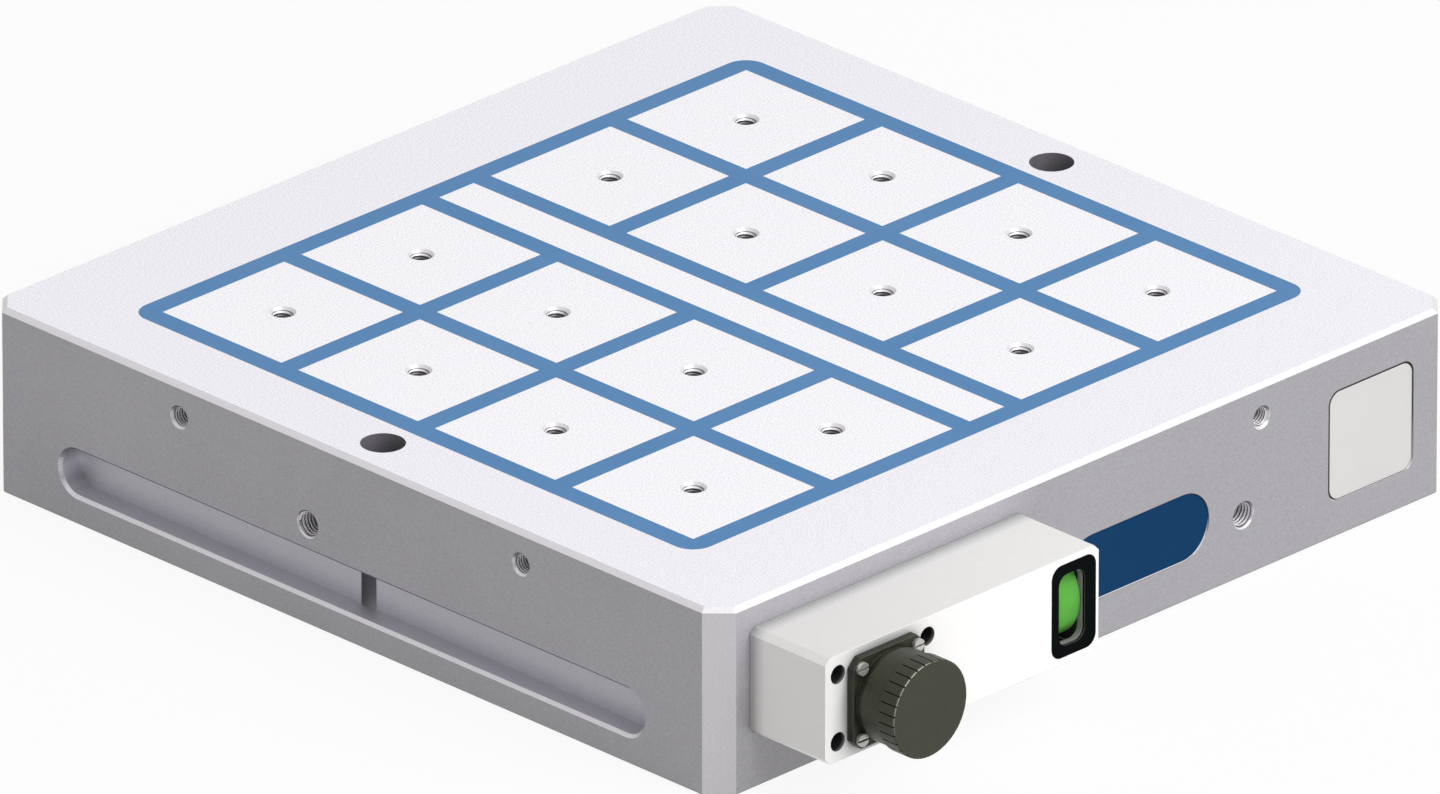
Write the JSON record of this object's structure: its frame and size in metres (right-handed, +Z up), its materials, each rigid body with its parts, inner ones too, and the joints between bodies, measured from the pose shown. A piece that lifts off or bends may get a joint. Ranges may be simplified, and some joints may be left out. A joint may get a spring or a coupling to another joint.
{
  "type": "magnetic chuck",
  "caption": "Square magnetic workholding plate with resin-potted square poles, side clamping slots, a connector box with a screw cap, and a state window.",
  "frame": {"origin": "centre of the plate's bottom face", "axes": "+Z up, towards the work; -Y is the connector side; +X to the right seen from the connector side"},
  "size_m": [0.306, 0.3564, 0.06],
  "materials": {
    "body_steel": "ground and milled steel",
    "pole_steel": "fine ground steel",
    "potting_blue": "cast and ground epoxy resin",
    "magnet_alloy": "cast magnet alloy",
    "coil_copper": "enamelled copper wire, baked",
    "magnet_plating": "nickel plated",
    "black_screw_steel": "blackened steel",
    "box_aluminium": "bright, bead blasted",
    "black_rubber": "moulded",
    "grey_rubber": "cut sheet",
    "connector_olive": "olive drab plating, satin",
    "insert_plastic": "moulded",
    "contact_gold": "gold plated",
    "zinc_screw": "zinc plated, satin",
    "lead_jacket": "insulated wire",
    "bezel_black": "printed black, satin",
    "housing_grey": "moulded, satin",
    "window_clear": "clear pane",
    "drum_green": "moulded",
    "drum_red": "moulded",
    "shaft_steel": "drawn pin",
    "name_plate_blue": "bare, enamelled",
    "info_plate_silver": "bare, satin"
  },
  "bodies": {
    "chuck": {"pole_row1_column1": "pole_steel", "pole_row1_column2": "pole_steel", "pole_row1_column3": "pole_steel", "pole_row1_column4": "pole_steel", "pole_row2_column1": "pole_steel", "pole_row2_column2": "pole_steel", "pole_row2_column3": "pole_steel", "pole_row2_column4": "pole_steel", "pole_row3_column1": "pole_steel", "pole_row3_column2": "pole_steel", "pole_row3_column3": "pole_steel", "pole_row3_column4": "pole_steel", "pole_row4_column1": "pole_steel", "pole_row4_column2": "pole_steel", "pole_row4_column3": "pole_steel", "pole_row4_column4": "pole_steel", "chuck_body": "body_steel", "centre_bar": "pole_steel", "potting_resin": "potting_blue", "magnet_cores_row1": "magnet_alloy", "coils_row1": "coil_copper", "magnet_cores_row2": "magnet_alloy", "coils_row2": "coil_copper", "magnet_cores_row3": "magnet_alloy", "coils_row3": "coil_copper", "magnet_cores_row4": "magnet_alloy", "coils_row4": "coil_copper", "magnets_between_columns": "magnet_plating", "magnets_between_rows": "magnet_plating", "pole_screws": "black_screw_steel", "bar_screws": "black_screw_steel", "name_plate": "name_plate_blue", "info_plate": "info_plate_silver", "connector_box": "box_aluminium", "box_gasket": "grey_rubber", "box_screws": "black_screw_steel", "receptacle_shell": "connector_olive", "receptacle_insert": "insert_plastic", "contact_pins": "contact_gold", "flange_gasket": "black_rubber", "flange_screws": "zinc_screw", "winding_leads": "lead_jacket", "lead_grommet": "black_rubber", "coil_links": "coil_copper", "bezel_plate": "bezel_black", "indicator_housing": "housing_grey", "indicator_window": "window_clear"},
    "cap_seal": {"cap_gasket": "black_rubber"},
    "cap": {"cap_shell": "connector_olive"},
    "drum": {"drum_green_half": "drum_green", "drum_red_half": "drum_red", "drum_shaft": "shaft_steel", "drum_magnet": "magnet_plating"}
  },
  "joints": [
    {"name": "cap_pull", "type": "slide", "parent": "chuck", "child": "cap_seal", "axis": [0, -1, 0], "range_m": [0, 0.03]},
    {"name": "cap_turn", "type": "hinge", "parent": "cap_seal", "child": "cap", "pos_m": [-0.1169, -0.2, 0.0349], "axis": [0, -1, 0], "continuous": true},
    {"name": "status_turn", "type": "hinge", "parent": "chuck", "child": "drum", "pos_m": [-0.03872, -0.1677, 0.0349], "axis": [1, 0, 0], "range_deg": [0, 180]}
  ]
}
